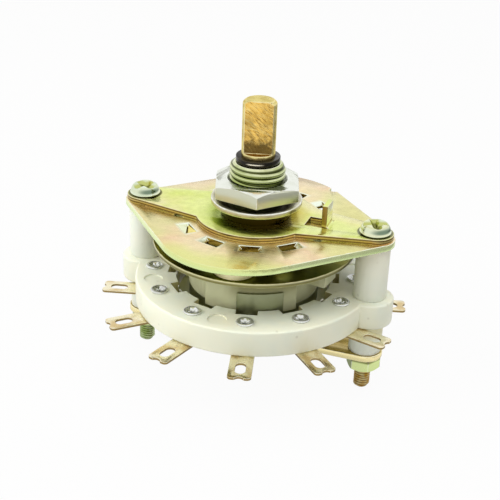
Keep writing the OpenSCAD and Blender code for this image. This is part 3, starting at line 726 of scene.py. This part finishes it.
def settle(piece, body, slotName, *nodeNames):
    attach(piece, body)
    if nodeNames:
        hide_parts(*nodeNames)
    print("settled:", piece.name, len(piece.data.polygons), "faces")


def newPiece(name, mesh):
    piece = bpy.data.objects.new(name, mesh)
    scene.collection.objects.link(piece)
    return piece


def pieceFrom(work, name, finish=None):
    mesh = bpy.data.meshes.new(name)
    work.to_mesh(mesh)
    work.free()
    if finish:
        mesh.materials.append(finish)
    return newPiece(name, mesh)


def outwardPiece(work, name, finish=None):
    bmesh.ops.recalc_face_normals(work, faces=work.faces)
    return pieceFrom(work, name, finish)


def takeMesh(piece):
    bpy.context.view_layer.update()
    made = bpy.data.meshes.new_from_object(piece.evaluated_get(bpy.context.evaluated_depsgraph_get()))
    piece.modifiers.clear()
    piece.data = made
    return made


weldGap = 1e-6
flatAngle = 0.4  # faces that bend by less than this become one
creaseAngle = 30  # edges bent further than this stay sharp where they aren't rounded


def cadCopy(name, nodeNames):
    work = bmesh.new()
    for nodeName in nodeNames:
        work.from_mesh(cadNodes[nodeName].data)
    bmesh.ops.remove_doubles(work, verts=work.verts, dist=weldGap)
    bmesh.ops.dissolve_limit(work, angle_limit=math.radians(flatAngle), verts=work.verts, edges=work.edges)
    return pieceFrom(work, name)


def markEdges(mesh, soft):
    work = bmesh.new()
    work.from_mesh(mesh)
    weight = work.edges.layers.float.new("bevel_weight_edge")
    shortest = soft.get("shortest", 0) * mm
    angle = math.radians(soft.get("angle", creaseAngle))
    sharpLow, sharpHigh = soft.get("sharp", (0, 0))
    for edge in work.edges:
        bend = edge.calc_face_angle(0)
        height = (edge.verts[0].co.z + edge.verts[1].co.z) / 2 / mm
        if edge.calc_length() > shortest and bend > angle and not sharpLow < height < sharpHigh:
            onCrown = height > soft.get("crownLow", math.inf)
            edge[weight] = 1.0 if onCrown else soft["width"] / soft.get("crown", soft["width"])
        elif bend > math.radians(creaseAngle):
            edge.smooth = False
    work.to_mesh(mesh)
    work.free()


def softEdges(piece, soft):
    for _ in range(2):  # the bevel puts its faces in the second slot, which then becomes the edge mask
        piece.data.materials.append(soft["finish"])
    piece.data.shade_smooth()
    markEdges(piece.data, soft)
    bevel = piece.modifiers.new("softEdge", "BEVEL")
    bevel.width = soft.get("crown", soft["width"]) * mm
    bevel.segments = 2
    bevel.limit_method = "WEIGHT"
    bevel.use_clamp_overlap = False
    bevel.harden_normals = True
    bevel.material = 1
    mesh = takeMesh(piece)
    edge = mesh.attributes.new("edge", "FLOAT", "FACE")
    edge.data.foreach_set("value", [float(face.material_index == 1) for face in mesh.polygons])
    for face in mesh.polygons:
        face.material_index = 0
    mesh.materials.pop(index=1)


softPieces = [
    dict(name="softShaft", nodes=["shaft"], body="rotor", slot="shaft_bronze", finish=shaftBronze,
         width=0.12, sharp=(-40, 11.0), crownLow=20.2, crown=0.16),
    dict(name="softClip", nodes=["shaft_clip"], body="rotor", slot="black_clip", finish=blackClip,
         width=0.1),
    dict(name="softBushing", nodes=["bushing"], slot="pale_zinc", finish=paleZinc, width=0.08),
    dict(name="softBushingPlate", nodes=["bushing_plate"], slot="yellow_zinc", finish=yellowZinc,
         width=0.1),
    dict(name="softIndexPlate", nodes=["index_plate"], slot="pink_zinc", finish=pinkZinc, width=0.1),
    dict(name="softPanelNut", nodes=["panel_nut"], slot="nickel", finish=nutNickel, width=0.1,
         angle=50, shortest=0.2),
    dict(name="softWasher", nodes=["panel_washer"], slot="nickel", finish=washerNickel, width=0.2),
    dict(name="softDisc", nodes=["detent_disc"], body="rotor", slot="olive_zinc", finish=discShadedZinc,
         width=0.1),
    dict(name="softRotor", nodes=["rotor"], body="rotor", slot="ivory", finish=rotorIvory, width=0.15),
    dict(name="softContact", nodes=["rotor_contact"], body="rotor", slot="silver_contact",
         finish=silverContact, width=0.08),
    dict(name="softSpacers", slot="ivory", finish=spacerIvory, width=0.12,
         nodes=["upper_spacer_left", "upper_spacer_right", "lower_spacer_left", "lower_spacer_right"]),
    dict(name="softStrap", nodes=["rear_strap"], slot="yellow_zinc", finish=strapZinc, width=0.12),
    dict(name="softTieNuts", nodes=["tie_nuts"], slot="yellow_zinc", finish=tieNutZinc, width=0.12,
         angle=50, shortest=0.5),
    dict(name="softWafer", nodes=["wafer"], slot="ivory", finish=waferIvory, width=0.12,
         angle=45, shortest=0.6),
    dict(name="softTags", nodes=[f"terminal_{i:02d}" for i in range(1, 13)], slot="tag_brass",
         finish=tagBrass, width=0.05),
]

for soft in softPieces:
    piece = cadCopy(soft["name"], soft["nodes"])
    softEdges(piece, soft)
    settle(piece, soft.get("body", "frame"), soft["slot"], *soft["nodes"])

plainNodes = dict(detent_spring=springBrass, detent_balls=nutNickel)
for nodeName, finish in plainNodes.items():
    cadNodes[nodeName].data.materials.clear()
    cadNodes[nodeName].data.materials.append(finish)


# A ridge that climbs round a core, for the bushing's thread and the ends of the screws

ridgeShape = dict(runOut=2.5, least=0.05, sides=14)


def endTree(tree, geometry, given, out):
    whole = nodeFrom("GeometryNodeRealizeInstances", {"Geometry": geometry})["Geometry"]
    coated = nodeFrom("GeometryNodeSetMaterial", {"Geometry": whole, "Material": given["Finish"]})
    feed(coated["Geometry"], out["Geometry"])
    return tree


def makeThreadTree(shape):
    inputs = [("Root Radius", "Float"), ("Depth", "Float"), ("Pitch", "Float"), ("Turns", "Float"),
              ("Start", "Vector"), ("Steps", "Int"), ("Finish", "Material")]
    tree, given, out = startGroup("threadRidge", inputs, [("Geometry", "Geometry")], "GeometryNodeTree")
    tree.is_modifier = True
    coil = nodeFrom("GeometryNodeCurveSpiral", {
        "Resolution": given["Steps"], "Rotations": given["Turns"], "Start Radius": given["Root Radius"],
        "End Radius": given["Root Radius"], "Height": times(given["Pitch"], given["Turns"])})
    upright = nodeFrom("GeometryNodeSetCurveNormal", {"Curve": coil["Curve"]}, mode="Z_UP")
    along = addNode(tree, "GeometryNodeSplineParameter")["Factor"]
    nearEnd = calc("MINIMUM", along, calc("SUBTRACT", 1.0, along))
    fade = calc("MINIMUM", times(nearEnd, given["Turns"], shape["runOut"]), 1.0)
    fade = calc("MAXIMUM", fade, shape["least"])
    profile = {"Resolution": shape["sides"], "Radius": 1.0}
    circle = addNode(tree, "GeometryNodeCurvePrimitiveCircle", profile)
    half = times(given["Pitch"], 0.5)
    stretch = nodeFrom("ShaderNodeCombineXYZ", {"X": given["Depth"], "Y": half, "Z": 1.0})
    section = nodeFrom("GeometryNodeTransform", {"Geometry": circle["Curve"], "Scale": stretch[0]})
    ridge = nodeFrom("GeometryNodeCurveToMesh", {
        "Curve": upright["Curve"], "Profile Curve": section["Geometry"], "Scale": fade, "Fill Caps": True})
    rounded = nodeFrom("GeometryNodeSetShadeSmooth", {"Geometry": ridge["Mesh"]})["Geometry"]
    placed = nodeFrom("GeometryNodeTransform", {"Geometry": rounded, "Translation": given["Start"]})
    return endTree(tree, placed["Geometry"], given, out)


def growPiece(name, tree, values):
    piece = newPiece(name, bpy.data.meshes.new(name))
    grown = piece.modifiers.new("grow", "NODES")
    grown.node_group = tree
    for item in tree.interface.items_tree:
        if item.in_out == "INPUT":
            grown[item.identifier] = values[item.name]
    takeMesh(piece)
    return piece


threadRidge = makeThreadTree(ridgeShape)


def threadPiece(name, look, low, high, finish, x=0.0):
    return growPiece(name, threadRidge, {
        "Root Radius": look["root"] * mm, "Depth": look["depth"] * mm, "Pitch": look["pitch"] * mm,
        "Turns": (high - low) / look["pitch"], "Start": (x * mm, 0.0, low * mm), "Steps": look["steps"],
        "Finish": finish})


def joinPieces(name, pieces):
    work = bmesh.new()
    for piece in pieces:
        work.from_mesh(piece.data)
    finish = pieces[0].data.materials[0]
    for piece in pieces:
        bpy.data.objects.remove(piece)
    return pieceFrom(work, name, finish)


bushingThread = dict(root=4.56, depth=0.44, pitch=1.02, steps=72, spans=[(3.0, 3.75), (6.35, 9.3)])
spans = []
for low, high in bushingThread["spans"]:
    spans.append(threadPiece(f"threadSpan{len(spans)}", bushingThread, low, high, paleZinc))
settle(joinPieces("bushingThread", spans), "frame", "pale_zinc")


# Skin between rows of points, each row a closed loop

def bridgeRows(work, rows):
    for here, there in zip(rows, rows[1:]):
        for k in range(len(here)):
            work.faces.new((here[k - 1], there[k - 1], there[k], here[k])).smooth = True


def roundPoint(r, angle, z):
    return Vector((r * math.cos(angle), r * math.sin(angle), z)) * mm


# Closed ring swept round Z from a section of radius and height

def lathe(name, section, steps, lobes=None):
    work = bmesh.new()
    rings = []
    for i in range(steps):
        angle = 2 * math.pi * i / steps
        ring = []
        for k, (r, z) in enumerate(section):
            out, drop = lobes(k, angle) if lobes else (0.0, 0.0)
            ring.append(work.verts.new(roundPoint(r + out, angle, z - drop)))
        rings.append(ring)
    bridgeRows(work, rings + rings[:1])
    return outwardPiece(work, name)


# Upturned lips round the two ends of the leaf spring

springLips = dict(turn=276, end=14.6, radius=3.8, wall=0.6, lean=0.6, low=-4.7, high=-2.8, rounding=0.15,
                  sweep=100, steps=28, runOut=4, least=0.1)


def makeSpringLips(look):
    work = bmesh.new()
    brow = look["radius"] - look["lean"]
    shoulder = look["high"] - look["rounding"]
    section = [(look["radius"], look["low"]), (brow, shoulder), (brow - 0.5 * look["wall"], look["high"]),
               (brow - look["wall"], shoulder), (look["radius"] - look["wall"], look["low"])]
    for turn in (look["turn"], look["turn"] + 180):
        middle = roundPoint(look["end"], math.radians(turn), 0)
        rows = []
        for i in range(look["steps"] + 1):
            along = 2 * i / look["steps"] - 1
            angle = math.radians(turn + look["sweep"] * along)
            fade = max(look["least"], min(1.0, look["runOut"] * (1 - abs(along))))
            row = []
            for r, z in section:
                height = look["low"] + (z - look["low"]) * fade
                row.append(work.verts.new(middle + roundPoint(r, angle, height)))
            rows.append(row)
        bridgeRows(work, rows)
        for end in (rows[0], rows[-1]):
            work.faces.new(end)
    return outwardPiece(work, "springLips", springBrass)


settle(makeSpringLips(springLips), "rotor", "spring_brass")


# Tie screws: pan heads with a combined slot and cross, plain shanks and threaded ends with a dog point

tieScrews = dict(spacing=44, steps=36, section=[(0.02, -31.4), (0.95, -31.4), (1.22, -30.95), (1.22, -26.9),
                                                (1.3, -24.5), (1.3, 0.1), (0.02, 0.1)],
                 ridge=dict(root=1.2, depth=0.3, pitch=0.5, steps=36, span=(-31.1, -27.0)))
screwHead = dict(radius=2.8, inset=0.12, collar=0.4, chamfer=0.08, undercut=0.17, foot=1.0, height=1.9,
                 dome=0.1, rounding=1.15, drop=0.95, grooveHalf=1.0, grooveDeep=1.3, grooveSteep=1.25,
                 crossReach=2.35, slotReach=2.6, turns=(62, 24), rings=30, steps=128)


def headHeight(look, r, angle):
    crown = look["radius"] - look["inset"]
    flat = crown - look["rounding"]
    top = look["height"] - look["dome"] * (r / crown) ** 2
    if r > flat:
        over = min((r - flat) / look["rounding"], 1.0)
        top -= (look["height"] - look["collar"]) * (1 - math.sqrt(1 - over ** 2)) * look["drop"]
    x = abs(r * math.cos(angle))
    y = abs(r * math.sin(angle))
    cut = 0.0
    for along, aside, reach in ((x, y, look["slotReach"]), (y, x, look["crossReach"])):
        taper = max(0.0, 1 - (along / reach) ** 4)
        wall = min(1.0, look["grooveSteep"] * max(0.0, 1 - aside / look["grooveHalf"]))
        cut = max(cut, look["grooveDeep"] * taper * wall)
    return max(look["collar"], min(top, look["height"] - cut))


def makeScrewHead(name, look, turn):
    work = bmesh.new()
    steps = look["steps"]
    crown = look["radius"] - look["inset"]
    rows = [(crown * (i + 1) / look["rings"], None) for i in range(look["rings"])]
    rows += [(crown, look["collar"]), (look["radius"], look["collar"] - look["chamfer"]),
             (look["radius"], look["undercut"]), (look["radius"] - look["undercut"] * 1.6, 0.0),
             (look["foot"], 0.0)]
    centre = work.verts.new((0, 0, headHeight(look, 0.0, 0.0) * mm))
    rings = []
    for r, z in rows:
        ring = []
        for k in range(steps):
            angle = 2 * math.pi * k / steps
            height = headHeight(look, r, angle - math.radians(turn)) if z is None else z
            ring.append(work.verts.new(roundPoint(r, angle, height)))
        rings.append(ring)
    for k in range(steps):
        work.faces.new((centre, rings[0][k - 1], rings[0][k])).smooth = True
    bridgeRows(work, rings)
    return outwardPiece(work, name, tieScrewZinc)


def makeTieScrews(look, head):
    ridge = look["ridge"]
    parts = []
    for side, turn in zip((-1, 1), head["turns"]):
        x = side * look["spacing"] / 2
        headPiece = makeScrewHead(f"screwHead{side}", head, turn)
        for made in (headPiece, lathe(f"screwCore{side}", look["section"], look["steps"])):
            made.data.transform(Matrix.Translation((x * mm, 0, 0)))
            parts.append(made)
        parts.append(threadPiece(f"screwRidge{side}", ridge, *ridge["span"], tieScrewZinc, x))
    return joinPieces("tieScrews", parts)


settle(makeTieScrews(tieScrews, screwHead), "frame", "yellow_zinc", "tie_screws")


# Hollow rivets with a rolled rim and a flared, split inner edge

rivetRing = dict(circle=18.7, count=12, first=15, top=-12.4, under=-17.65, steps=40, petals=6, flare=0.14,
                 dip=0.16, petalShares={2: (1.0, 0.3), 3: (1.0, 1.0), 4: (0.4, 0.5)})


def makeRivet(look):
    low = look["under"] - look["top"]
    section = [(0.75, low - 0.45), (0.75, -0.9), (0.34, -0.3), (0.78, 0.2), (1.0, 0.4), (1.27, 0.45),
               (1.47, 0.36), (1.58, 0.21), (1.55, 0.06), (1.42, 0.0), (1.1, 0.0), (1.1, low), (1.42, low),
               (1.58, low - 0.18), (1.47, low - 0.36), (1.2, low - 0.45)]

    def petals(k, angle):
        out, down = look["petalShares"].get(k, (0.0, 0.0))
        wave = math.cos(look["petals"] * angle)
        return look["flare"] * wave * out, look["dip"] * (0.5 - 0.5 * wave) * down

    return lathe("oneRivet", section, look["steps"], petals)


def makeRivetTree():
    inputs = [("Rivet", "Object"), ("Circle Radius", "Float"), ("Count", "Int"), ("Turn", "Vector"),
              ("Place", "Vector"), ("Finish", "Material")]
    tree, given, out = startGroup("rivetRing", inputs, [("Geometry", "Geometry")], "GeometryNodeTree")
    tree.is_modifier = True
    ring = nodeFrom("GeometryNodeMeshCircle", {
        "Vertices": given["Count"], "Radius": given["Circle Radius"]})
    rivet = nodeFrom("GeometryNodeObjectInfo", {"Object": given["Rivet"], "As Instance": True})
    spot = addNode(tree, "GeometryNodeInputPosition")[0]
    outward = nodeFrom("FunctionNodeAlignRotationToVector", {"Vector": spot}, axis="X")
    rivets = nodeFrom("GeometryNodeInstanceOnPoints", {
        "Points": ring["Mesh"], "Instance": rivet["Geometry"], "Rotation": outward[0]})
    placed = nodeFrom("GeometryNodeTransform", {
        "Geometry": rivets["Instances"], "Translation": given["Place"], "Rotation": given["Turn"]})
    return endTree(tree, placed["Geometry"], given, out)


oneRivet = makeRivet(rivetRing)
piece = growPiece("rolledRivets", makeRivetTree(), {
    "Rivet": oneRivet, "Circle Radius": rivetRing["circle"] * mm, "Count": rivetRing["count"],
    "Turn": (0.0, 0.0, math.radians(rivetRing["first"])), "Place": (0.0, 0.0, rivetRing["top"] * mm),
    "Finish": tinnedRivet})
bpy.data.objects.remove(oneRivet)
settle(piece, "frame", "tinned_rivet", "terminal_rivets")


# Flap folded along a diagonal, in the window that is only half punched

windowFlap = dict(turn=225, inner=12.4, outer=14.6, half=2.2, top=-1.03, fold=-1.2, step=-1.45, deep=-1.75,
                  thick=0.1)
flapFinish = dict(
    base=srgb(255, 236, 120), first=srgb(246, 220, 96), second=srgb(255, 244, 150), scale=300, spread=0.6,
    side=srgb(120, 96, 40), worn=srgb(252, 244, 200), rough=(0.18, 0.28), paleReflection=srgb(238, 244, 204))


def makeFlap(look, finish):
    gold = zincMaterial("flapZinc", finish)
    # Painted reflection: the flap's level faces are painted pale, the slanted part keeps the gold
    repaint(gold, mapRange(surfaceInputs(gold).nz, 0.94, 0.98), finish["paleReflection"])
    turn = Matrix.Rotation(math.radians(look["turn"]), 4, "Z")
    down = Vector((0, 0, look["thick"]))
    white = [(look["outer"], -look["half"], look["top"]), (look["inner"], -look["half"], look["fold"]),
             (look["outer"], look["half"], look["fold"])]
    slant = [(look["inner"], -look["half"], look["step"]), (look["outer"], look["half"], look["deep"]),
             (look["inner"], look["half"], look["top"])]
    work = bmesh.new()
    for corners in (white, slant):
        upper = [work.verts.new(turn @ Vector(spot) * mm) for spot in corners]
        lower = [work.verts.new(turn @ (Vector(spot) - down) * mm) for spot in corners]
        work.faces.new(upper)
        work.faces.new(lower)
        for k in range(3):
            work.faces.new((upper[k], upper[k - 1], lower[k - 1], lower[k]))
    return outwardPiece(work, "windowFlap", gold)


settle(makeFlap(windowFlap, flapFinish), "frame", "pink_zinc")


# White tent, soft key from the left and a pale floor

lamps = [
    dict(name="key", place=(-0.34, -0.2, 0.25), size=0.3, power=1.38, colour=(1.0, 0.99, 0.96)),
    dict(name="top", place=(0.04, -0.06, 0.5), size=0.5, power=1.98, colour=(1.0, 1.0, 0.98)),
    dict(name="fill", place=(0.3, -0.3, 0.2), size=0.4, power=0.21, colour=(1.0, 0.99, 0.95)),
]
tentLook = dict(ambient=0.42)
floorLook = dict(size=3, height=-31.4 * mm, colour=(0.6, 0.6, 0.59, 1), rough=0.8, glow=0.95,
                 shine=(0.96, 0.42), shineReach=(0.045, 0.072), shadowReach=(0.012, 0.042), shadowShine=0.5)


def seenRays(tree):
    rays = addNode(tree, "ShaderNodeLightPath")
    mirrored = calc("MAXIMUM", rays["Is Glossy Ray"], rays["Is Transmission Ray"])
    return rays["Is Camera Ray"], mirrored


def makeWorld(look):
    world = bpy.data.worlds.new("whiteTent")
    world.use_nodes = True
    background = world.node_tree.nodes["Background"].inputs
    background["Color"].default_value = (1, 1, 1, 1)
    seen = calc("MAXIMUM", *seenRays(world.node_tree))
    feed(mapRange(seen, 0, 1, look["ambient"], 1), background["Strength"])
    scene.world = world


def areaLight(lamp):
    data = bpy.data.lights.new(lamp["name"], "AREA")
    data.size = lamp["size"]
    data.energy = lamp["power"]
    data.color = lamp["colour"]
    light = bpy.data.objects.new(lamp["name"], data)
    light.location = lamp["place"]
    light.rotation_mode = "QUATERNION"
    light.rotation_quaternion = Vector(lamp["place"]).to_track_quat("Z", "Y")
    light.visible_glossy = False
    scene.collection.objects.link(light)


def makeFloor(look):
    bpy.ops.mesh.primitive_plane_add(size=look["size"], location=(0, 0, look["height"]))
    floor = bpy.context.object
    floor.name = "paleFloor"
    plain = dict(Base_Color=look["colour"], Roughness=look["rough"])
    material, _, place, _ = startMaterial("paleFloor", **plain)
    tree = material.node_tree
    seen, mirrored = seenRays(tree)
    # Seen in reflections the floor glows brighter on the left and dimmer to the right, with a painted
    # shadow under the switch
    under = mapRange(axisDistance(place), *look["shadowReach"], look["shadowShine"], 1)
    shine = times(mapRange(split(place)["X"], *look["shineReach"], *look["shine"]), under)
    glow = addNode(tree, "ShaderNodeEmission", {"Strength": mapRange(mirrored, 0, 1, 1, shine)})
    share = calc("MAXIMUM", times(seen, look["glow"]), mirrored)
    matt = tree.nodes["Principled BSDF"].outputs[0]
    blend = nodeFrom("ShaderNodeMixShader", {0: share, 1: matt, 2: glow[0]})
    feed(blend[0], tree.nodes["Material Output"].inputs["Surface"])
    floor.data.materials.append(material)


makeWorld(tentLook)
for lamp in lamps:
    areaLight(lamp)
makeFloor(floorLook)
print("light and floor made")
